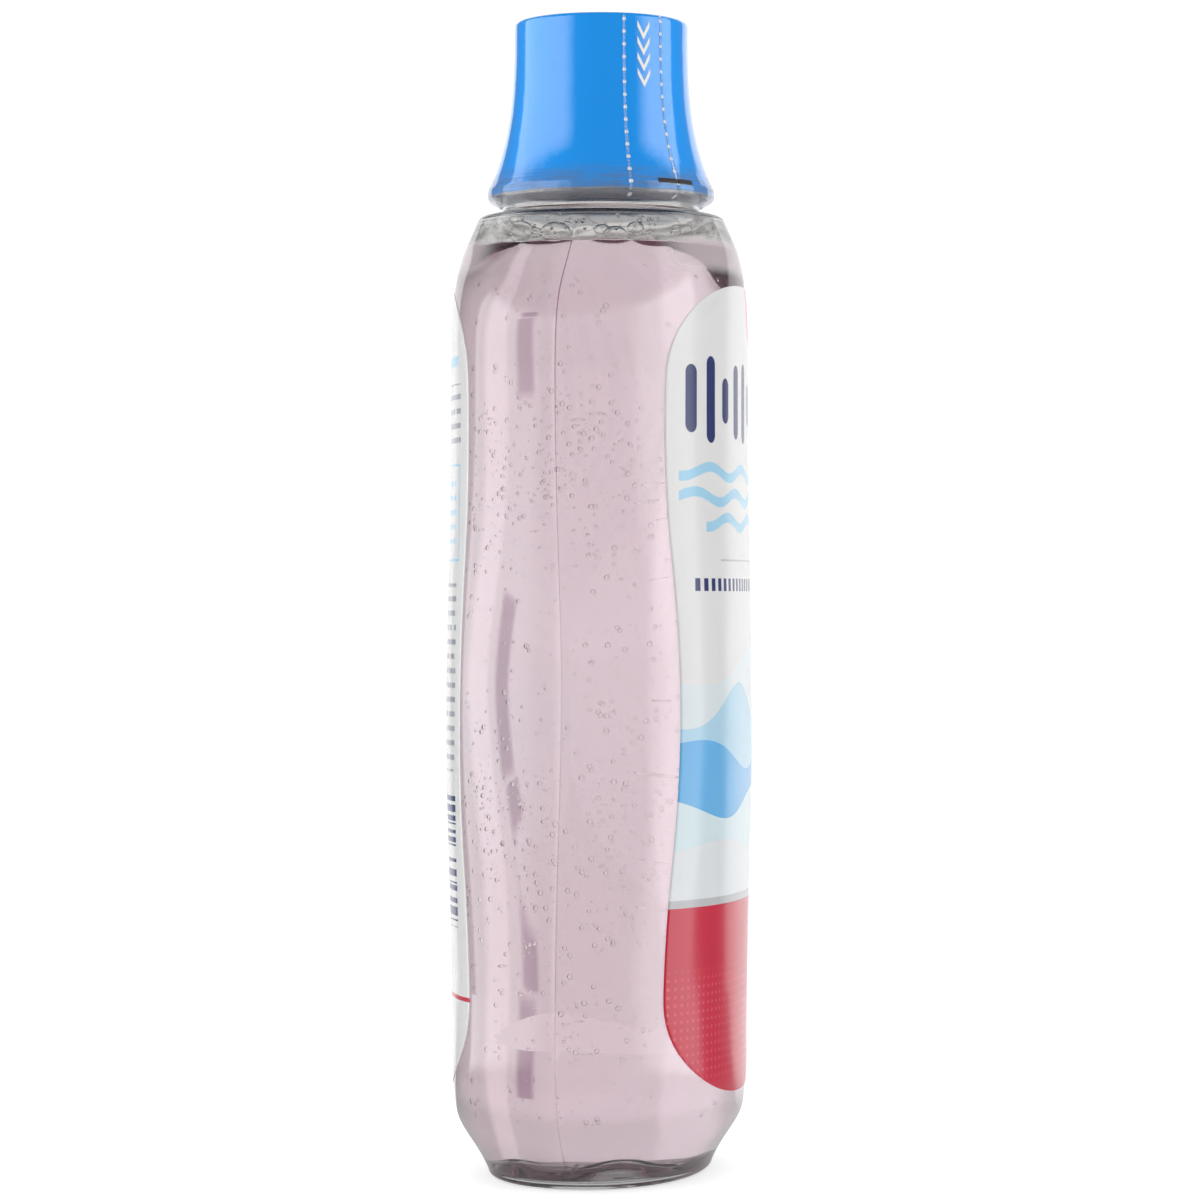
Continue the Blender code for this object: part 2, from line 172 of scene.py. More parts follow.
# Studio: a white backdrop, a softbox on each side, and dim walls between them.
# Angles count round from the camera's side, positive to the picture's right.
studio = {
    "floorRadius": 0.32, "floorGap": 0.0002, "floorColour": (0.86, 0.86, 0.86),
    # the floor's lower glow near the middle is a painted shadow under the object
    "floorGlow": 0.55, "underShadowGlow": 0.45, "floorFade": (0.04, 0.17), "middleHeight": 0.105,
    "openGlow": 1.10, "fillGlow": 0.84,
    # what smooth surfaces mirror: a backdrop behind, and boxes, each (from, full, fading, to, glow)
    "wallGlow": 0.13, "ceilingGlow": 0.10, "ceilingDeg": (48.0, 60.0), "backdropGlow": 1.06,
    "backdropEdges": ((-148.0, -152.0), (134.0, 140.0)), "backdropTop": (55.0, 45.0),
    "boxes": ((-123.0, -117.0, -28.0, -52.0, 1.9), (109.0, 103.0, 40.0, 68.0, 2.1)),
    "boxRise": (-35.0, 36.0, 6.0),
    # what the clear parts show behind them: a backdrop, dimmer sides and a dark ceiling;
    # each step is (from degrees, to degrees, change of the glow)
    "throughGlow": 0.92,
    "turnSteps": ((-32.0, -21.0, 0.34), (-10.0, -7.5, -0.18), (11.0, 17.0, -0.09), (21.8, 23.2, 0.20),
                  (26.5, 28.8, -0.34), (31.0, 44.0, -0.35)),
    "riseSteps": ((0.5, 3.0, 0.05), (5.0, 8.5, -0.13), (13.0, 21.0, -0.10)),
    # each stand is (from, to, low, high, shade, softness of its ends)
    "darkStands": ((16.6, 20.2, -5.4, 3.45, 0.42, 0.25), (16.0, 19.4, -6.5, -5.6, 0.42, 0.12)),
    "standSoft": 0.8, "standTint": (1.0, 0.58, 0.92), "throughSideGlow": 0.95,
    "throughSideDeg": (90.0, 125.0), "throughCeilingGlow": 0.16, "throughCeilingDeg": (34.0, 46.0),
    "lightPaths": {"max_bounces": 40, "transmission_bounces": 32, "transparent_max_bounces": 24,
                   "glossy_bounces": 32, "diffuse_bounces": 4, "sample_clamp_indirect": 8.0},
}


def addStudio():
    material, bench = newMaterial("paleFloor")
    # towards its edge the floor turns into the light round it; under the object its glow is turned down, a
    # painted shadow
    spot = bench.spot()
    away = bench.vector("ADD", 0, spot, (0.0, 0.0, -studio["middleHeight"]))
    around = lightRound(bench, bench.vector("NORMALIZE", 0, away))[0]
    # the lower glow near the middle is painted shadow under the object
    near = bench.between(bench.add("LightPath", "Is Camera Ray"), studio["underShadowGlow"], studio["floorGlow"])
    far = bench.ramp(bench.vector("LENGTH", "Value", spot), *studio["floorFade"])
    dim = bench.most(far, bench.add("LightPath", "Is Glossy Ray"))
    bench.finish({"Base Color": bench.mix(dim, studio["floorColour"], (0.0, 0.0, 0.0)), "Roughness": 0.8,
                  "Emission Color": (1.0, 1.0, 1.0), "Emission Strength": bench.between(far, near, around)})
    bm = bmesh.new()
    bmesh.ops.create_circle(bm, cap_ends=True, segments=96, radius=studio["floorRadius"])
    floor = newObject("studioFloor", bm, material)
    floor.location.z = -studio["floorGap"]
    world = bpy.data.worlds.new("studioWorld")
    world.use_nodes = True
    world.node_tree.nodes.clear()
    bench = NodeBench(world.node_tree)
    light, shaded = lightRound(bench, bench.add("TexCoord", "Generated"))
    colour = bench.mix(shaded, (1.0, 1.0, 1.0), studio["standTint"])
    background = bench.add("Background", 0, {"Color": colour, "Strength": light})
    bench.join(background, bench.nodes.new("ShaderNodeOutputWorld").inputs[0])
    scene.world = world
    scene.view_settings.view_transform = "Standard"
    scene.view_settings.look = "None"
    for name, value in studio["lightPaths"].items():
        setattr(scene.cycles, name, value)


def lightRound(bench, direction):
    # the light that comes from a direction, as mirrors, clear parts and matt surfaces get it,
    # and how much of it the dark stands take
    forward = bench.vector("DOT_PRODUCT", "Value", direction, towardCamera)
    sideways = bench.vector("DOT_PRODUCT", "Value", direction, acrossView)
    turn = bench.math("DEGREES", bench.math("ARCTAN2", sideways, forward))
    rise = bench.math("DEGREES", bench.math("ARCSINE", bench.split(direction)[2]))
    glow = bench.between(bench.ramp(rise, *studio["ceilingDeg"]), studio["wallGlow"], studio["ceilingGlow"])
    backdrop = bench.most(*[bench.ramp(turn, *edge) for edge in studio["backdropEdges"]])
    backdrop = backdrop * bench.ramp(rise, *studio["backdropTop"])
    glow = bench.most(glow, backdrop * studio["backdropGlow"])
    boxRise = bench.window(rise, *studio["boxRise"])
    for start, full, fading, end, power in studio["boxes"]:
        lit = bench.ramp(turn, start, full) * bench.ramp(turn, fading, end) * boxRise
        glow = bench.most(glow, lit * power)
    # degrees off straight behind, positive to the picture's right
    aside = abs(turn)
    behind = bench.math("SIGN", turn) * (180.0 - aside)
    through = studio["throughGlow"]
    for angle, steps in ((behind, studio["turnSteps"]), (rise, studio["riseSteps"])):
        for start, end, change in steps:
            through = bench.ramp(angle, start, end) * change + through
    stands = 0.0
    for left, right, low, high, shade, soft in studio["darkStands"]:
        stand = bench.window(behind, left, right, studio["standSoft"]) * bench.window(rise, low, high, soft)
        stands = bench.most(stands, stand * shade)
    inner = bench.ramp(aside, *studio["throughSideDeg"])
    through = bench.between(inner, studio["throughSideGlow"], through - stands)
    high = bench.ramp(rise, *studio["throughCeilingDeg"])
    through = bench.between(high, through, studio["throughCeilingGlow"])
    kinds = ("Is Glossy Ray", "Is Transmission Ray", "Is Camera Ray")
    mirrored, passed, seen = [bench.add("LightPath", kind) for kind in kinds]
    glow = bench.most(glow, (1.0 - mirrored) * studio["fillGlow"])
    glow = bench.between(passed, glow, through)
    return bench.most(glow, seen * studio["openGlow"]), passed * stands


def newObject(name, bm, material):
    mesh = bpy.data.meshes.new(name)
    bm.to_mesh(mesh)
    bm.free()
    mesh.materials.append(material)
    made = bpy.data.objects.new(name, mesh)
    scene.collection.objects.link(made)
    return made


def newMaterial(name):
    material = bpy.data.materials.new(name)
    material.use_nodes = True
    return material, NodeBench(material.node_tree)


def clearMaterial(name, index, colour=(1.0, 1.0, 1.0), roughness=0.0):
    material, bench = newMaterial(name)
    bench.finish({"Base Color": colour, "Roughness": roughness, "IOR": index, "Transmission Weight": 1.0})
    return material, bench


# Body: heights and sizes in metres, as the solids have them
bodyForm = {
    "width": 0.0780, "depth": 0.0536, "height": 0.1695, "footRound": 0.0012,
    "standingRing": 0.0016, "pushUp": 0.0062, "curveStep": 0.00025, "softEnds": 0.0011,
    "softMiddle": 0.0040, "softFrom": 0.09, "softTo": 0.90, "softFade": 0.12,
    # height up the body, half width, half depth, squareness
    "stationShares": (
        (0.000, 0.762, 0.746, 2.15), (0.017, 0.800, 0.799, 2.15), (0.036, 0.860, 0.880, 2.12),
        (0.054, 0.915, 0.950, 2.10), (0.080, 0.962, 0.971, 2.10), (0.160, 1.000, 0.978, 2.10),
        (0.274, 0.982, 0.986, 2.20), (0.440, 0.890, 1.000, 2.60), (0.520, 0.862, 1.000, 2.70),
        (0.610, 0.896, 0.996, 2.50), (0.715, 0.968, 0.992, 2.20), (0.815, 1.000, 0.990, 2.10),
        (0.880, 0.998, 0.990, 2.10), (0.914, 0.972, 0.990, 2.10), (0.943, 0.908, 0.986, 2.10),
        (0.966, 0.808, 0.979, 2.10), (0.984, 0.716, 0.966, 2.05),
    ),
    "pushUpShares": ((0.00, 1.0), (0.15, 0.995), (0.30, 0.985), (0.43, 0.965), (0.55, 0.93), (0.66, 0.89),
                     (0.76, 0.83), (0.84, 0.74), (0.90, 0.61), (0.95, 0.40), (0.98, 0.18)),
    "baseWaves": 5, "baseWaveShare": 0.23, "baseWaveShift": 3.65, "baseWaveMiddle": 0.88,
    "baseWaveReach": 0.22, "columns": 188, "rows": 150, "seamShare": 0.0042,
}
shoulderForm = {
    "collarRadius": 0.0183, "ledgeWidth": 0.0046, "drumTaper": 0.0023, "drumHeight": 0.0062,
    "drumRound": 0.0011, "ledgeRise": 0.0004, "collarFillet": 0.0010,
    "collarHeight": 0.0049, "collarRound": 0.0008, "coneHeight": 0.0050,
    "neckRadius": 0.0109, "neckWall": 0.0015, "wall": 0.0010, "lipRound": 0.0003,
}
drumTopRadius = shoulderForm["collarRadius"] + shoulderForm["ledgeWidth"]
drumRadius = drumTopRadius + shoulderForm["drumTaper"]
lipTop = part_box("bottle")[1].z


def softened(values, weights):
    # values averaged along their length, and carried on past both ends
    padded = np.pad(values, len(weights) // 2, mode="reflect", reflect_type="odd")
    return np.convolve(padded, weights / weights.sum(), mode="valid")


def smoothed(curve, softness):
    reach = int(3 * softness / bodyForm["curveStep"])
    spots = np.arange(-reach, reach + 1) * bodyForm["curveStep"]
    weights = np.exp(-0.5 * (spots / softness) ** 2)
    return np.stack([softened(curve[:, k], weights) for k in range(3)], axis=1)


def makeBodyCurve():
    # a dense curve through the stations, softened so that no crease shows in what it refracts
    form = bodyForm
    shares = np.array(form["stationShares"] + ((1.0, 0.0, 0.0, 2.0),))
    heights = form["footRound"] + shares[:, 0] * (form["height"] - form["footRound"])
    sizes = shares[:, 1:] * (form["width"] / 2, form["depth"] / 2, 1.0)
    sizes[-1, :2] = drumRadius
    slopes = np.gradient(sizes, heights, axis=0)
    dense = np.arange(heights[0], heights[-1] + form["curveStep"] / 2, form["curveStep"])
    index = np.clip(np.searchsorted(heights, dense) - 1, 0, len(heights) - 2)
    span = (heights[index + 1] - heights[index])[:, None]
    t = (dense - heights[index])[:, None] / span
    curve = (2 * t**3 - 3 * t**2 + 1) * sizes[index] + (t**3 - 2 * t**2 + t) * span * slopes[index]
    curve += (3 * t**2 - 2 * t**3) * sizes[index + 1] + (t**3 - t**2) * span * slopes[index + 1]
    share = (dense - heights[0]) / (heights[-1] - heights[0])
    inside = np.minimum(share - form["softFrom"], form["softTo"] - share) / form["softFade"]
    middle = np.clip(inside, 0, 1)[:, None]
    middle = middle * middle * (3 - 2 * middle)
    soft = smoothed(curve, form["softMiddle"]) * middle
    return dense, soft + smoothed(curve, form["softEnds"]) * (1 - middle)


curveHeights, curveSizes = makeBodyCurve()


def bodyAt(height):
    # half width, half depth and squareness of the outside at a height
    return [float(np.interp(height, curveHeights, curveSizes[:, k])) for k in range(3)]


def makeColumns():
    # columns round the body, closer over each parting line:
    # each is (angle, share of the depth there, lift of the ridge)
    count = bodyForm["columns"]
    columns = []
    for i in range(count):
        angle = tau * i / count
        if i % (count // 2):
            columns.append((angle, None, 0.0))
            continue
        reach = copysign(bodyForm["seamShare"], cos(angle))
        columns += [(angle, reach * step, 1 - abs(step)) for step in (-1, -0.5, 0, 0.5, 1)]
    return columns


bodyColumns = makeColumns()


def columnPoint(column, halfWidth, halfDepth, squareness):
    angle, share, lift = column
    if share is None:
        return ovalPoint(angle, halfWidth, halfDepth, squareness)
    x = halfWidth * (1 - abs(share) ** squareness) ** (1 / squareness)
    return copysign(x, cos(angle)), halfDepth * share


def ovalPoint(angle, halfWidth, halfDepth, squareness):
    c, s = cos(angle), sin(angle)
    x = halfWidth * copysign(abs(c) ** (2 / squareness), c)
    y = halfDepth * copysign(abs(s) ** (2 / squareness), s)
    return x, y


def arcPoints(centre, radius, startDeg, endDeg, steps):
    angles = np.radians(np.linspace(startDeg, endDeg, steps + 1))
    return [(centre[0] + radius * cos(a), centre[1] + radius * sin(a)) for a in angles]


def placeGrid(columns, rows, place, chart=None):
    # a sheet of quads laid on a form: place(i, j) gives the point of column i and row j.
    # A closed sheet keeps the grid's own map; an open one faces out, and chart(point) gives its map.
    bm = bmesh.new()
    uvLayer = bm.loops.layers.uv.new("UVMap")
    bmesh.ops.create_grid(bm, x_segments=columns, y_segments=rows, size=0.5, calc_uvs=True)
    for vertex in bm.verts:
        vertex.co = place(round((vertex.co.x + 0.5) * columns), round((vertex.co.y + 0.5) * rows))
    if not chart:
        bmesh.ops.remove_doubles(bm, verts=bm.verts, dist=1e-6)
    bmesh.ops.recalc_face_normals(bm, faces=bm.faces)
    if chart:
        if sum(face.normal.xy.dot(face.verts[0].co.xy) for face in bm.faces) < 0:
            bmesh.ops.reverse_faces(bm, faces=bm.faces)
        for face in bm.faces:
            for loop in face.loops:
                loop[uvLayer].uv = chart(loop.vert.co)
    return bm


def makePiece(name, bm, material, body, replaced=None, sharpDeg=40):
    piece = newObject(name, bm, material)
    piece.data.shade_smooth()
    if sharpDeg:
        piece.data.set_sharp_from_angle(angle=radians(sharpDeg))
    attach(piece, body)
    if replaced:
        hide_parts(replaced)
    return piece


def ringRows(inset, floor, top, steps):
    # rows (half width, half depth, squareness, height) from the middle of the base up the body
    form = bodyForm
    footRound = form["footRound"]
    footWidth, footDepth, squareness = bodyAt(footRound)
    ringWidth, ringDepth = [size - footRound - form["standingRing"] for size in (footWidth, footDepth)]
    rows = []
    for scale, rise in form["pushUpShares"]:
        rows.append((ringWidth * scale, ringDepth * scale, squareness, floor + form["pushUp"] * rise))
    rows.append((ringWidth, ringDepth, squareness, floor))
    for out, height in arcPoints((0.0, floor + footRound), footRound, -90, 0, 6):
        edge = inset + footRound - out
        rows.append((footWidth - edge, footDepth - edge, squareness, height))
    for height in np.linspace(floor + footRound, top, steps + 1)[1:]:
        width, depth, squareness = bodyAt(height)
        rows.append((width - inset, depth - inset, squareness, height))
    return rows


def baseWave(angle, width, height, floor):
    # the rim of the push-up is a little wavy, as a blown base is
    form = bodyForm
    share = width / (bodyAt(form["footRound"])[0] - form["footRound"] - form["standingRing"])
    if share > 0.995 or height > floor + form["pushUp"] * 1.01:
        return 0.0
    rim = max(0.0, 1 - ((share - form["baseWaveMiddle"]) / form["baseWaveReach"]) ** 2)
    swing = cos(form["baseWaves"] * (angle - form["baseWaveShift"]))
    return (height - floor) * form["baseWaveShare"] * swing * rim


bottleFinish = {
    "wall": 0.0006, "baseWall": 0.0009, "tint": (0.985, 0.992, 0.995), "index": 1.57,
    "mistTop": 0.1865, "mistTint": (0.765, 0.75, 0.725), "mistRoughness": 0.10,
    "seamRoughness": 0.25, "foamFade": (0.1754, 0.1744), "foamCell": 0.0075,
    # dark outlines of the foam bubbles: painted shade
    "foamRimShade": (0.52, 0.505, 0.48), "foamRimShadeWidth": (0.040, 0.010),
    "domeReach": 0.30, "domeBump": {"Strength": 0.04, "Distance": 0.0003},
    # faint haze on the shoulder's front and back corners: heights, and distances from the middle
    "hazeRise": (0.1636, 0.1664), "hazeTop": (0.1700, 0.1712),
    "hazeReach": (0.0140, 0.0212), "hazyFacesTop": 0.1742, "hazeShare": 0.62,
    # the parting line's darker tint near the shoulder is painted shade
    "hazeColour": (0.66, 0.57, 0.60), "seamFaint": (0.85, 0.79, 0.82),
    "seamShadeColour": (0.35, 0.20, 0.28), "seamFade": (0.125, 0.160), "seamHeight": 0.00004,
    "seamFrom": 0.004,
}


def shoulderRows():
    # the drum, ledge, collar, cone and neck outside, then the same way back down inside
    s = shoulderForm
    drumTop = bodyForm["height"] + s["drumHeight"]
    collarBase = drumTop + s["ledgeRise"]
    collarTop = collarBase + s["collarHeight"]
    coneTop = collarTop + s["coneHeight"]
    bore = s["neckRadius"] - s["neckWall"]
    profile = arcPoints((drumTopRadius - s["drumRound"], drumTop - s["drumRound"]), s["drumRound"], 12, 90, 8)
    fillet = (s["collarRadius"] + s["collarFillet"], collarBase + s["collarFillet"])
    profile += arcPoints(fillet, s["collarFillet"], 270, 180, 8)
    profile += arcPoints((s["collarRadius"] - s["collarRound"], collarTop - s["collarRound"]),
                         s["collarRound"], 0, 50, 5)
    profile += [(s["neckRadius"], coneTop), (s["neckRadius"], lipTop - s["lipRound"])]
    profile += [(s["neckRadius"] - s["lipRound"], lipTop), (bore + s["lipRound"], lipTop)]
    profile += [(bore, lipTop - s["lipRound"]), (bore, coneTop - s["wall"])]
    inner = s["collarRadius"] - s["wall"]
    profile += [(inner, collarTop - s["wall"] - s["collarRound"]), (inner, collarBase - s["wall"] + 0.0006)]
    profile += [(inner + 0.0005, collarBase - s["wall"] + 0.0001)]
    innerRound = s["drumRound"] * 0.6
    profile += arcPoints((drumTopRadius - s["wall"] - innerRound, drumTop - s["wall"] - innerRound),
                         innerRound, 90, 12, 6)
    return [(radius, radius, 2.0, height) for radius, height in profile]


def buildBottle():
    form = bottleFinish
    outside = ringRows(0.0, 0.0, bodyForm["height"], bodyForm["rows"])
    inside = ringRows(form["wall"], form["baseWall"], bodyForm["height"], bodyForm["rows"])
    rows = outside + shoulderRows() + inside[::-1]
    count = len(bodyColumns)
    lipRow = max(range(len(rows)), key=lambda k: rows[k][3])

    def place(i, j):
        width, depth, squareness, height = rows[j]
        column = bodyColumns[i % count]
        x, y = columnPoint(column, width, depth, squareness)
        if j < len(outside) and height > form["seamFrom"]:
            x += copysign(form["seamHeight"] * column[2], x)
        wave = baseWave(column[0], width, height, 0.0 if j < lipRow else form["baseWall"])
        return Vector((x, y, height + wave))

    bm = placeGrid(count, len(rows) - 1, place)
    uvLayer = bm.loops.layers.uv["UVMap"]
    for face in bm.faces:
        # the inside is misted above the mouthwash, and the parting line has its own finish
        centre = face.calc_center_median()
        height = centre.z
        spots = [loop[uvLayer].uv for loop in face.loops]
        left = round(min(spot.x for spot in spots) * count)
        row = round(min(spot.y for spot in spots) * (len(rows) - 1))
        if row >= lipRow:
            if liquidFinish["level"] <= height < form["mistTop"]:
                face.material_index = 2
        elif row < len(outside) - 1 and all(bodyColumns[k % count][1] is not None for k in (left, left + 1)):
            face.material_index = 1
        elif form["hazeRise"][0] < height < form["hazyFacesTop"]:
            if abs(centre.y) > form["hazeReach"][0]:
                face.material_index = 3
    clear = clearMaterial("clearBottle", form["index"], form["tint"])[0]
    piece = makePiece("clearBottle", bm, clear, "bottle", "bottle")
    for material in (seamMaterial(), mistMaterial(), hazyMaterial()):
        piece.data.materials.append(material)
    neck = shoulderForm["neckRadius"]
    buildThread("neckThread", neck, threadForm["depth"], 0.0, clear, "bottle")


def seamMaterial():
    # the parting line is a little frosted, and its tint darkens towards the shoulder as painted shade
    form = bottleFinish
    material, bench = clearMaterial("partingLine", form["index"], roughness=form["seamRoughness"])
    # the darker tint higher up is painted shade
    strength = bench.ramp(bench.place()[2], *form["seamFade"])
    bench.finish({"Base Color": bench.mix(strength, form["seamFaint"], form["seamShadeColour"])})
    return material


threadForm = {
    "pitch": 0.003175, "turns": 1.5, "depth": 0.00105, "rootWidth": 0.0011,
    "crestWidth": 0.0006, "crestShares": ((0.85, 1.15), (1.0, 0.7)), "embed": 0.0003,
    "runOutDeg": 40.0, "belowLip": 0.0035, "stepsPerTurn": 72,
}
threadStart = lipTop - threadForm["belowLip"] - threadForm["pitch"] * threadForm["turns"]


def spun(profile, turns, steps, rise=0.0, looped=False):
    # a line of (radius, height) points spun round the upright axis
    bm = bmesh.new()
    verts = [bm.verts.new((radius, 0.0, height)) for radius, height in profile]
    edges = [bm.edges.new(pair) for pair in zip(verts, verts[1:] + verts[:looped])]
    bmesh.ops.spin(bm, geom=verts + edges, cent=(0, 0, 0), axis=(0, 0, 1), angle=tau * turns, steps=steps,
                   dvec=(0, 0, rise / steps), use_merge=not looped)
    return bm


def buildThread(name, rootRadius, depth, pitchesLower, material, body):
    # a ridge spun up a right-hand helix, fading into its wall at both ends; a negative depth points inwards
    form = threadForm
    start = threadStart - form["pitch"] * pitchesLower
    sunk = rootRadius - copysign(form["embed"], depth)
    half, crest = form["rootWidth"] / 2, form["crestWidth"] / 2
    flank = [(sunk, half)] + [(rootRadius + depth * out, crest * wide) for out, wide in form["crestShares"]]
    section = [(radius, start - rise) for radius, rise in flank]
    section += [(radius, start + rise) for radius, rise in flank[::-1]]
    steps = round(form["stepsPerTurn"] * form["turns"])
    bm = spun(section, form["turns"], steps, form["pitch"] * form["turns"], looped=True)
    bmesh.ops.holes_fill(bm, edges=bm.edges, sides=len(section))
    bmesh.ops.recalc_face_normals(bm, faces=bm.faces)
    runOut = radians(form["runOutDeg"])
    for vertex in bm.verts:
        turn = atan2(vertex.co.y, vertex.co.x)
        turn += tau * round((vertex.co.z - start) / form["pitch"] - turn / tau)
        fade = min(max(min(turn, tau * form["turns"] - turn) / runOut, 0.0), 1.0)
        radius = vertex.co.xy.length
        faded = sunk + (radius - sunk) * fade
        vertex.co.x *= faded / radius
        vertex.co.y *= faded / radius
    makePiece(name, bm, material, body)


def mistMaterial():
    # mist on the inside of the shoulder, and the dark outlines of foam bubbles where they touch it, painted
    # shade
    form = bottleFinish
    material, bench = clearMaterial("mistedBottle", form["index"], roughness=form["mistRoughness"])
    squashed = bench.vector("MULTIPLY", 0, bench.spot(), (1.0, 1.0, 2.0))
    cells = bench.add("TexVoronoi", "Distance", {"Vector": squashed, "Scale": 1 / form["foamCell"]},
                      feature="DISTANCE_TO_EDGE")
    foam = bench.ramp(bench.place()[2], *form["foamFade"])
    # the bubbles' dark outlines are painted shade; their domes are a real bump
    line = bench.ramp(cells, *form["foamRimShadeWidth"]) * foam
    domes = bench.ramp(cells, 0.0, form["domeReach"]) * foam
    bench.finish({"Base Color": bench.mix(line, form["mistTint"], form["foamRimShade"]),
                  "Normal": bench.add("Bump", 0, {"Height": domes, **form["domeBump"]})})
    return material


def hazyMaterial():
    # clear plastic with a faint haze that fades in towards the shoulder's corners
    form = bottleFinish
    material, bench = clearMaterial("hazyShoulder", form["index"])
    x, y, z = bench.place()
    low, high = form["hazeTop"]
    haze = bench.ramp(z, *form["hazeRise"]) * bench.ramp(z, high, low) * bench.ramp(abs(y), *form["hazeReach"])
    bench.finish({"Base Color": bench.mix(haze, form["tint"], form["hazeColour"]),
                  "Transmission Weight": 1.0 - haze * form["hazeShare"]})
    return material


liquidFinish = {
    "inset": 0.0003, "level": 0.1690, "index": 1.333, "density": 9.6, "colour": (0.435, 0.073, 0.204),
    # how far in from the wall, and how far up the liquid creeps there
    "meniscus": ((0.0006, 0.0006), (0.0009, 0.0004), (0.0014, 0.0002), (0.0022, 0.00008), (0.0035, 0.0)),
    "topShares": (0.8, 0.6, 0.4, 0.2, 0.0), "scallops": 10, "scallopDepth": 0.45,
}


def buildMouthwash():
    form = liquidFinish
    level = form["level"]
    floor = bottleFinish["baseWall"] / 2
    rows = ringRows(form["inset"], floor, level + form["meniscus"][0][1], bodyForm["rows"])
    width, depth, squareness = rows[-1][:3]
    for inward, rise in form["meniscus"]:
        rows.append((width - inward, depth - inward, squareness, level + rise))
    width, depth = rows[-1][:2]
    for share in form["topShares"]:
        rows.append((width * share, depth * share, squareness, level))
    count = len(bodyColumns)

    def place(i, j):
        width, depth, squareness, height = rows[j]
        column = bodyColumns[i % count]
        if height > level:
            # the foam's bubbles press the rim down here and there
            lift = abs(sin(form["scallops"] * column[0] + 1.3 * sin(3 * column[0] + 0.4)))
            height = level + (height - level) * (1 - form["scallopDepth"] * (1 - lift))
        else:
            height += baseWave(column[0], width, height, floor)
        return Vector((*columnPoint(column, width, depth, squareness), height))

    bm = placeGrid(count, len(rows) - 1, place)
    material, bench = clearMaterial("pinkMouthwash", form["index"])
    volume = bench.add("VolumeAbsorption", 0, {"Color": form["colour"], "Density": form["density"]})
    bench.join(volume, bench.nodes["Material Output"].inputs["Volume"])
    makePiece("pinkLiquid", bm, material, "bottle", "mouthwash")


bubbleFinish = {
    "seed": 7, "count": 2500, "sizes": (0.00012, 0.00052), "index": 0.92, "farShare": 0.2,
    "farSize": 0.6, "flat": 0.8, "heights": (0.012, 0.163), "gap": 0.00006, "sizePower": 2.5,
    # heights where the bubbles gather, and how far they spread
    "clusters": ((0.128, 0.010), (0.062, 0.012)), "clustered": 0.45, "spread": 0.62,
}


def drawnSize(dice, sizes, power):
    # a chance size between two limits, small ones being the more common
    return sizes[0] + (sizes[1] - sizes[0]) * dice.random() ** power


ballCarrier = bpy.data.meshes.new("ballCarrier")


def addBall(bm, centre, size, around, segments, rings, hollow=False):
    # a ball squashed to size (out, around, up), standing off a wall; hollow turns it inside out
    up = Vector((0, 0, 1))
    turn = Matrix((around.cross(up).normalized(), around, up)).transposed().to_4x4()
    shape = Matrix.Translation(centre) @ turn @ Matrix.Diagonal((*size, 1.0))
    ball = bmesh.new()
    bmesh.ops.create_uvsphere(ball, u_segments=segments, v_segments=rings, radius=1.0, matrix=shape)
    if hollow:
        bmesh.ops.reverse_faces(ball, faces=ball.faces)
    ball.to_mesh(ballCarrier)
    ball.free()
    bm.from_mesh(ballCarrier)


def wallPoint(angle, height, inset):
    width, depth, squareness = bodyAt(height)
    x, y = ovalPoint(angle, width, depth, squareness)
    aheadX, aheadY = ovalPoint(angle + 0.01, width, depth, squareness)
    around = Vector((aheadX - x, aheadY - y, 0.0)).normalized()
    outward = Vector((around.y, -around.x, 0.0))
    return Vector((x, y, height)) - outward * inset, around


def buildWallBubbles():
    form = bubbleFinish
    lowest, highest = form["heights"]
    dice = random.Random(form["seed"])
    bm = bmesh.new()
    for i in range(form["count"]):
        far = dice.random() < form["farShare"]
        angle = (0.0 if far else pi) + dice.gauss(0.0, form["spread"])
        if dice.random() < form["clustered"]:
            height = dice.gauss(*dice.choice(form["clusters"]))
        else:
            height = dice.uniform(lowest, highest)
        height = min(max(height, lowest), highest)
        radius = drawnSize(dice, form["sizes"], form["sizePower"]) * (form["farSize"] if far else 1.0)
        inset = bottleFinish["wall"] + form["gap"] + radius * form["flat"]
        centre, around = wallPoint(angle, height, inset)
        addBall(bm, centre, (radius * form["flat"], radius, radius), around, 8, 6)
    material = clearMaterial("airBubble", form["index"])[0]
    makePiece("wallBubbles", bm, material, "bottle", sharpDeg=None)


# Foam bubbles against the inside of the drum, and small drops over them
foamFinish = {
    "seed": 21, "count": 40, "sizes": (0.0006, 0.0030), "film": 0.00005, "low": 0.1688,
    "high": 0.1745, "gap": 0.00085, "flat": 0.42, "tall": 0.72, "highestMiddle": 0.1715,
    "sizePower": 1.5, "astray": 0.4, "sunk": 0.55, "lean": 0.7,
    "drops": 260, "dropHeights": (0.1705, 0.1748), "dropSizes": (0.00012, 0.00045), "dropFlat": 0.5,
}


def drumWallAt(height):
    if height <= bodyForm["height"]:
        return drumRadius
    share = (height - bodyForm["height"]) / shoulderForm["drumHeight"]
    return drumRadius - (drumRadius - drumTopRadius) * share


def besideDrum(angle, height, wallHeight, inset):
    # the middle of a ball that touches the drum's inner wall, and the way round the wall there
    reach = drumWallAt(wallHeight) - foamFinish["gap"] - inset
    around = Vector((-sin(angle), cos(angle), 0))
    return Vector((cos(angle) * reach, sin(angle) * reach, height)), around


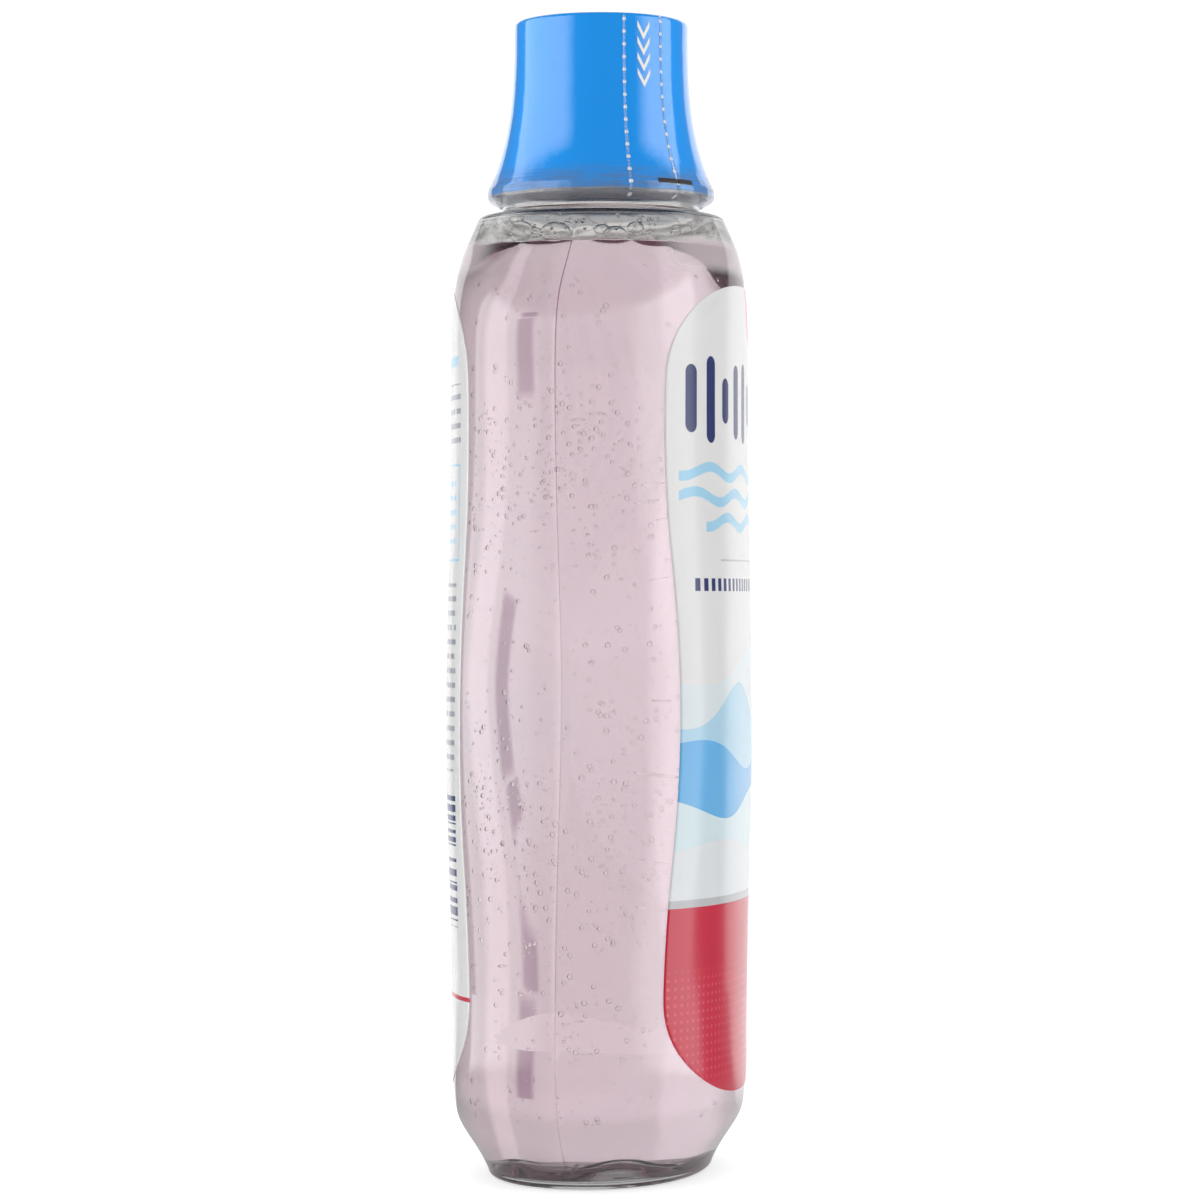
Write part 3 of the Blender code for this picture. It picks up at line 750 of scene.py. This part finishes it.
def buildFoam():
    form = foamFinish
    dice = random.Random(form["seed"])
    bubbles, drops = bmesh.new(), bmesh.new()
    for i in range(form["count"]):
        angle = tau * (i + dice.uniform(-form["astray"], form["astray"])) / form["count"]
        radius = drawnSize(dice, form["sizes"], form["sizePower"])
        lowest = form["low"] + radius * form["sunk"]
        height = dice.uniform(lowest, max(form["high"] - radius, form["highestMiddle"]))
        size = Vector((radius * form["flat"], radius, radius * form["tall"]))
        centre, around = besideDrum(angle, height, height + radius * form["lean"], size.x)
        addBall(bubbles, centre, size, around, 24, 14)
        film = Vector((form["film"],) * 3)
        addBall(bubbles, centre, size - film, around, 24, 14, hollow=True)
    for i in range(form["drops"]):
        angle = dice.random() * tau
        height = dice.uniform(*form["dropHeights"])
        radius = drawnSize(dice, form["dropSizes"], 2)
        flat = radius * form["dropFlat"]
        centre, around = besideDrum(angle, height, height, flat)
        addBall(drops, centre, (flat, radius, radius), around, 8, 6)
    material = clearMaterial("foamFilm", liquidFinish["index"])[0]
    makePiece("foamBubbles", bubbles, material, "bottle", sharpDeg=None)
    makePiece("headspaceDrops", drops, material, "bottle", sharpDeg=None)


labelForm = {
    "gap": 0.00003, "thickness": 0.00007, "belowDrum": 0.0070, "bottom": 0.0153,
    "corner": 0.0195, "cornerPower": 2.3, "kinkSteps": 61,
    "widthShares": ((0.0, 0.770), (0.25, 0.775), (0.5, 0.797), (0.75, 0.780), (1.0, 0.762)),
    "columns": 72, "middleRows": 90, "cornerRows": 22, "spreadDeg": 60,
}


def labelOutline():
    # rows (height, half width) up the label, with rounded ends
    form = labelForm
    low = form["bottom"] + form["corner"]
    high = bodyForm["height"] - form["belowDrum"] - form["corner"]
    spots, shares = zip(*form["widthShares"])
    spans = np.linspace(0, 1, 401)
    wide = softened(np.interp(spans, spots, shares), np.hanning(form["kinkSteps"]))
    middle = []
    for height in np.linspace(low, high, form["middleRows"] + 1):
        share = float(np.interp((height - low) / (high - low), spans, wide))
        middle.append((height, share * bodyAt(height)[0]))
    corner = []
    for angle in np.radians(np.linspace(0, 88, form["cornerRows"] + 1)[1:]):
        rise = form["corner"] * sin(angle) ** (2 / form["cornerPower"])
        corner.append((rise, cos(angle) ** (2 / form["cornerPower"])))
    below = [(low - rise, middle[0][1] * share) for rise, share in reversed(corner)]
    above = [(high + rise, middle[-1][1] * share) for rise, share in corner]
    return below + middle + above


def makeFilm(name, bm, material, body, replaced, thickness):
    wall = makePiece(name, bm, material, body, replaced, None).modifiers.new("film", "SOLIDIFY")
    wall.thickness = thickness
    wall.offset = 1.0


def buildLabel(name, side, material, node):
    outline = labelOutline()
    columns = labelForm["columns"]
    spread = radians(labelForm["spreadDeg"])

    def place(i, j):
        height, halfWidth = outline[j]
        width, depth, squareness = bodyAt(height)
        x = halfWidth * sin(spread * (2 * i / columns - 1)) / sin(spread)
        reach = 1 - (abs(x) / (width + labelForm["gap"])) ** squareness
        y = side * (depth + labelForm["gap"]) * reach ** (1 / squareness)
        return Vector((x, y, height))

    def chart(point):
        # millimetres across and up the label, as its print is drawn
        return -side * point.x * 1000, point.z * 1000

    bm = placeGrid(columns, len(outline) - 1, place, chart)
    makeFilm(name, bm, material, "bottle", node, labelForm["thickness"])


printInks = {
    "paper": (0.75, 0.75, 0.75), "navy": (0.020, 0.030, 0.130),
    "lightBlue": (0.32, 0.58, 0.97), "paleBlue": (0.60, 0.80, 0.97),
    "midBlue": (0.10, 0.38, 0.86), "crimson": (0.52, 0.014, 0.046),
    "lightRed": (0.78, 0.14, 0.20), "pink": (0.86, 0.26, 0.33),
    "silver": (0.46, 0.47, 0.49), "grey": (0.30, 0.32, 0.36),
}
# printed film that lets a little of the light through to its inner side
labelGloss = {
    "Roughness": 0.22, "IOR": 1.5, "Coat Weight": 0.20, "Coat Roughness": 0.05,
    "Subsurface Weight": 1.0, "Subsurface Scale": 0.0003, "Subsurface Radius": (1.0, 1.0, 1.0),
}


def waveEdge(bench, u, v, level, swing, length, shift):
    # 1 below a wavy line across the label
    line = bench.math("SINE", u / length + shift) * swing + level
    return bench.ramp(line - v, -0.05, 0.05)


def greekRows(bench, u, v, pitch, wordLength, shift):
    # rows of short dashes where small print would stand
    row = bench.math("FLOOR", v / pitch)
    inRow = bench.window(bench.math("FRACT", v / pitch), 0.28, 0.66, 0.06)
    along = u / wordLength + (row * 3.73 + shift)
    spot = bench.add("CombineXYZ", 0, {0: bench.math("FLOOR", along), 1: row})
    chance = bench.add("TexWhiteNoise", "Value", {"Vector": spot}, noise_dimensions="2D")
    fromMiddle = abs(bench.math("FRACT", along) - 0.5)
    return inRow * bench.ramp(chance * 0.32 + 0.30 - fromMiddle, -0.04, 0.04)


def block(bench, u, v, left, right, low, high):
    return bench.window(u, left, right, 0.05) * bench.window(v, low, high, 0.05)


def distance(bench, across, upward):
    return bench.math("SQRT", across * across + upward * upward)


def frontPrint():
    material, bench = newMaterial("frontPrint")
    u, v = bench.uv()
    # soft blue waves on the white paper
    bench.colour = printInks["paper"]
    for level, swing, length, shift, strength, name in (
            (93.0, 3.2, 9.0, 0.8, 0.55, "paleBlue"), (86.0, 4.0, 6.5, 2.4, 0.80, "lightBlue"),
            (77.0, 3.0, 8.0, 4.4, 0.90, "midBlue"), (68.0, 2.4, 7.2, 0.2, 1.00, "paleBlue"),
            (60.0, 1.8, 10.0, 3.0, 0.70, "paper")):
        bench.lay(waveEdge(bench, u, v, level, swing, length, shift) * strength, name)
    # silver line, then the crimson foot with its own fine lattice of dots
    bench.lay(bench.window(v, 50.2, 51.6, 0.05), "silver")
    bench.lay(bench.ramp(v, 50.25, 50.15), "crimson")
    lattice = bench.math("SINE", (u + v) * 2.1) * bench.math("SINE", (u - v) * 2.1)
    dots = bench.ramp(lattice, 0.55, 0.7) * bench.window(v, 19.0, 38.0, 2.5)
    bench.lay(dots * 0.45, "lightRed")
    # navy capsules of changing height, in place of a heading
    pitch, reach = 6.0, 27.0
    along = (u + reach) / pitch
    local = (bench.math("FRACT", along) - 0.5) * pitch
    tall = bench.math("SINE", bench.math("FLOOR", along) * 2.2) * 2.1 + 4.6
    over = bench.most(abs(v - 141.0) - tall, 0.0)
    capsule = bench.ramp(distance(bench, local, over), 1.55, 1.45) * bench.window(u, -reach, reach, 0.05)
    bench.lay(capsule, "navy")
    # light blue ripples, a thin rule and a row of small marks
    for level, start in ((128.0, -reach), (123.5, -reach), (119.0, -20.0)):
        upper, lower = [waveEdge(bench, u, v, level + half, 0.9, 2.6, level) for half in (0.9, -0.9)]
        bench.lay((upper - lower) * bench.window(u, start, reach, 0.05), "lightBlue")
    bench.lay(block(bench, u, v, -15.0, 15.0, 112.0, 112.35), "silver")
    marks = bench.window(bench.math("FRACT", u / 2.4), 0.18, 0.74, 0.03)
    bench.lay(marks * block(bench, u, v, -24.0, 24.0, 106.6, 108.9), "navy")
    # a rosy crescent at the head
    for across, upward, radius, name in ((13.0, 160.0, 9.5, "pink"), (17.5, 162.5, 6.6, "paper")):
        far = distance(bench, u - across, v - upward)
        bench.lay(bench.ramp(far, radius + 0.05, radius - 0.05), name)
    bench.finish({"Base Color": bench.colour, **labelGloss})
    return material


def backPrint():
    material, bench = newMaterial("backPrint")
    u, v = bench.uv()
    rows = greekRows(bench, u, v, 2.6, 3.4, 0.37)
    page = 0.0
    for panel in ((-26.5, 26.5, 132.0, 144.0), (-25.0, 25.0, 74.0, 108.0), (-25.0, 8.0, 40.0, 70.0)):
        page = bench.most(page, block(bench, u, v, *panel))
    bench.colour = printInks["paper"]
    bench.lay(rows * page, "grey")
    heading = greekRows(bench, u, v, 5.2, 6.0, 0.9) * block(bench, u, v, -25.0, 25.0, 146.0, 151.0)
    bench.lay(heading, "lightBlue")
    rim = block(bench, u, v, -26.2, 26.2, 112.0, 129.5) - block(bench, u, v, -25.8, 25.8, 112.4, 129.1)
    bench.lay(rim, "lightBlue")
    bench.lay(rows * block(bench, u, v, -24.0, 24.0, 114.5, 127.2), "lightBlue")
    # a panel of level stripes, and a crimson rule
    lines = bench.add("TexWhiteNoise", "Value", {"W": bench.math("FLOOR", v * 3.1)}, noise_dimensions="1D")
    stripes = bench.ramp(lines, 0.50, 0.52) * block(bench, u, v, 12.0, 25.5, 46.0, 70.0)
    bench.lay(stripes, "navy")
    bench.lay(bench.window(v, 33.0, 33.8, 0.05), "crimson")
    bench.finish({"Base Color": bench.colour, **labelGloss})
    return material


capForm = {
    "topRadius": 0.0160, "rimRadius": 0.0208, "bandDepth": 0.00055, "rowPower": 1.3,
    "flarePower": 3.0, "rimRound": 0.0003, "topRound": 0.0008, "wall": 0.0010,
    "deck": 0.0013, "skirtInside": 0.01225, "skirtWall": 0.0011,
    "skirtFootBelowLip": 0.01755, "segments": 160,
}
capGloss = {"Base Color": (0.0, 0.32, 0.88), "Roughness": 0.32, "IOR": 1.5, "Specular IOR Level": 0.15}
capRim, capTop = [corner.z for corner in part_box("dosing_cap")]
capHeight = capTop - capRim


def capRadius(height):
    flare = capForm["rimRadius"] + capForm["bandDepth"] - capForm["topRadius"]
    return min(capForm["topRadius"] + flare * (1 - height / capHeight) ** capForm["flarePower"],
               capForm["rimRadius"])


def buildCap():
    form = capForm
    side = [i / 40 for i in range(41)]
    outside = arcPoints((capRadius(0) - form["rimRound"], form["rimRound"]), form["rimRound"], -90, 0, 4)
    high = capHeight - form["topRound"]
    for share in side[1:-1]:
        height = form["rimRound"] + (high - form["rimRound"]) * share ** form["rowPower"]
        outside.append((capRadius(height), height))
    outside += arcPoints((form["topRadius"] - form["topRound"], high), form["topRound"], 0, 90, 8)
    outside.append((0.0, capHeight))
    under = capHeight - form["deck"]
    inside = [(capRadius(under * share) - form["wall"], under * share) for share in side[:-1:2]]
    skirtFoot = lipTop - form["skirtFootBelowLip"] - capRim
    skirtOutside = form["skirtInside"] + form["skirtWall"]
    inside += [(form["topRadius"] - form["wall"] - 0.0004, under), (skirtOutside, under),
               (skirtOutside, skirtFoot), (form["skirtInside"], skirtFoot), (form["skirtInside"], under),
               (0.0, under)]
    profile = [(radius, height + capRim) for radius, height in outside[::-1] + inside]
    bm = spun(profile, 1, form["segments"])
    bmesh.ops.remove_doubles(bm, verts=bm.verts, dist=1e-6)
    bmesh.ops.recalc_face_normals(bm, faces=bm.faces)
    material, bench = newMaterial("blueCap")
    bench.finish(capGloss)
    makePiece("dosingCap", bm, material, "cap", "dosing_cap")
    buildThread("capThread", form["skirtInside"], -threadForm["depth"], 0.5, material, "cap")


filmForm = {
    "gap": 0.00005, "thickness": 0.00005, "lip": 0.0026, "heelDrop": 0.0005,
    "tuckDrop": 0.0018, "tuckRadius": 0.0187, "stripFromDeg": 207.0, "stripToDeg": 234.0,
    "perforationGap": 0.00004, "lift": 0.00003, "rimLift": 0.00009, "rimReach": 0.0035,
    # lines of dots and dashes: pitch and radius in millimetres, strength
    "perforations": ((2.3, 0.34, 0.95), (0.58, 0.13, 0.55)), "mmPerDegree": 0.29,
    # chevrons: heights of their feet, slope, and where a stroke's sides and ends fade
    "chevronMiddleDeg": 220.6, "chevronScale": 0.28, "chevronFeet": (28.0, 25.1, 22.2, 19.3),
    "chevronSlope": 1.85, "chevronSides": (0.62, 0.54), "chevronEnds": (1.30, 1.24),
    "inkColour": (0.74, 0.77, 0.79), "bar": (222.0, 245.0, 1.1, 2.0), "barStrength": 0.85,
    "barColour": (0.02, 0.02, 0.025), "faceOn": 0.045, "rimHazeAndShade": 0.22, "heelHaze": 0.10,
    # the dark grey haze colour over the rim is painted shade
    "hazeColour": (0.22, 0.23, 0.25), "heelColour": (0.48, 0.48, 0.50),
}


def filmProfile():
    # points (radius, height) down the film, from its lip on the deck to where it tucks under the rim
    form = filmForm
    gap = form["gap"]
    high = capHeight - capForm["topRound"]
    inner = capForm["topRadius"] - form["lip"]
    points = [(inner + form["lip"] * 0.65 * i / 4, capHeight + gap) for i in range(4)]
    points += arcPoints((capForm["topRadius"] - capForm["topRound"], high), capForm["topRound"] + gap, 90, 0, 8)
    for share in np.linspace(1, 0, 45)[1:]:
        height = high * share ** capForm["rowPower"]
        points.append((capRadius(height) + gap, height))
    points.append((capForm["rimRadius"] + gap, -form["heelDrop"] * 0.6))
    heel = (capForm["rimRadius"] - 0.0002, -form["heelDrop"] - 0.0002)
    for share in np.linspace(0, 1, 9):
        radius = heel[0] + (form["tuckRadius"] - heel[0]) * share
        points.append((radius, heel[1] + (-form["tuckDrop"] - heel[1]) * share))
    return [(radius, height + capRim) for radius, height in points]


def ripple(angle, height):
    # how far the shrunk film lifts off the cap: little on the side, more where it gathers at the rim
    nearRim = exp(-max(height - capRim, 0) / filmForm["rimReach"])
    slow = 0.5 + 0.5 * sin(5 * angle + 90 * height + 1.3)
    quick = 0.5 + 0.5 * sin(37 * angle + 260 * height) * sin(11 * angle + 2.0)
    return filmForm["lift"] * slow + nearRim * filmForm["rimLift"] * quick


def buildFilm(name, fromDeg, toDeg, columns, replaced, body, material):
    profile = filmProfile()
    halfGap = degrees(filmForm["perforationGap"] / 2 / capForm["topRadius"])
    start, end = radians(fromDeg + halfGap), radians(toDeg - halfGap)

    def place(i, j):
        radius, height = profile[j]
        angle = start + (end - start) * i / columns
        radius += ripple(angle, height)
        return Vector((radius * cos(angle), radius * sin(angle), height))

    def chart(point):
        # degrees round the cap, and millimetres up from the rim
        angle = degrees(atan2(point.y, point.x)) % 360
        return angle + 360 * (angle < fromDeg - 1), (point.z - capRim) * 1000

    bm = placeGrid(columns, len(profile) - 1, place, chart)
    makeFilm(name, bm, material, body, replaced, filmForm["thickness"])


def filmMaterial(name, chevrons):
    # the map's u runs in degrees, and v in millimetres
    material, bench = newMaterial(name)
    form = filmForm
    u, v = bench.uv()
    marks = 0.0
    for edge in (form["stripFromDeg"], form["stripToDeg"], form["stripFromDeg"] + 360):
        across = (u - edge) * form["mmPerDegree"]
        for pitch, size, share in form["perforations"]:
            along = (bench.math("FRACT", v / pitch) - 0.5) * pitch
            dot = bench.ramp(distance(bench, across, along), size + 0.04, size - 0.04)
            marks = bench.most(marks, dot * share)
    if chevrons:
        across = abs((u - form["chevronMiddleDeg"]) * form["chevronScale"])
        for foot in form["chevronFeet"]:
            offLine = abs(v - (across * form["chevronSlope"] + foot))
            stroke = bench.ramp(offLine, *form["chevronSides"])
            marks = bench.most(marks, stroke * bench.ramp(across, *form["chevronEnds"]))
    bar = block(bench, u, v, *form["bar"])
    marks = bench.most(marks, bar * form["barStrength"])
    underRim = bench.ramp(v, 0.3, -0.2)
    # the dark grey haze colour is painted shade along the rim
    hazeColour = bench.mix(underRim, form["hazeColour"], form["heelColour"])
    ink = bench.mix(bar, form["inkColour"], form["barColour"])
    bench.finish({"Base Color": bench.mix(bench.ramp(marks, 0.0, 0.4), hazeColour, ink), "Roughness": 0.5})
    # the film is hazy in level streaks where it gathers over the rim, and more so under it; the dark grey of
    # the streaks over the rim is painted shade
    level = bench.add("CombineXYZ", 0, {0: u * 0.03, 1: v})
    streaks = bench.add("TexNoise", 0, {"Vector": level, "Scale": 1.6, "Detail": 3.0})
    haze = bench.ramp(v, 5.5, 0.8) * bench.ramp(streaks, 0.15, 0.75) * form["rimHazeAndShade"]
    marks = bench.most(marks, underRim * form["heelHaze"] + haze)
    noise = bench.add("TexNoise", 0, {"Vector": bench.spot(), "Scale": 260.0, "Detail": 3.0, "Roughness": 0.55})
    bump = bench.add("Bump", 0, {"Height": noise, "Strength": 0.12, "Distance": 0.0004})
    clear = bench.add("BsdfTransparent", 0, {"Color": (0.995, 0.998, 1.0)})
    gloss = bench.add("BsdfAnisotropic", 0, {"Normal": bump, "Roughness": 0.03, "Color": (1.0, 1.0, 1.0)})
    # the same gloss from both sides of the film: faint face on, strong at a glance
    facing = bench.add("LayerWeight", "Facing", {"Normal": bump})
    sheen = bench.math("POWER", facing, 5.0) * 0.95 + form["faceOn"]
    film = bench.add("MixShader", 0, {0: sheen, 1: clear, 2: gloss})
    printed = bench.add("MixShader", 0, {0: marks, 1: film, 2: Reading(bench, bench.shader.outputs[0])})
    bench.join(printed, bench.nodes["Material Output"].inputs["Surface"])
    return material


def finishLiner():
    material, bench = newMaterial("whiteFoam")
    cells = bench.add("TexVoronoi", "Distance", {"Vector": bench.spot(), "Scale": 3500.0})
    colour = bench.mix(bench.ramp(cells, 0.1, 0.7), (0.86, 0.86, 0.84), (0.74, 0.74, 0.72))
    bump = bench.add("Bump", 0, {"Height": cells, "Strength": 0.3, "Distance": 0.0001})
    bench.finish({"Base Color": colour, "Normal": bump, "Roughness": 0.8})
    for slot in nodes["cap_liner"].material_slots:
        slot.material = material


addCamera()
addStudio()
print("camera and studio ready")
buildBottle()
print("bottle made")
buildMouthwash()
buildWallBubbles()
buildFoam()
bpy.data.meshes.remove(ballCarrier)
print("mouthwash and its bubbles made")
buildLabel("frontLabel", -1, frontPrint(), "front_label")
buildLabel("backLabel", 1, backPrint(), "back_label")
print("labels made")
buildCap()
finishLiner()
print("cap made")
stripFrom, stripTo = filmForm["stripFromDeg"], filmForm["stripToDeg"]
buildFilm("neckSleeve", stripTo, stripFrom + 360, 240, "neck_sleeve", "cap",
          filmMaterial("clearSleeve", False))
buildFilm("tearStrip", stripFrom, stripTo, 24, "tear_strip", "strip",
          filmMaterial("clearStrip", True))
print("film made")
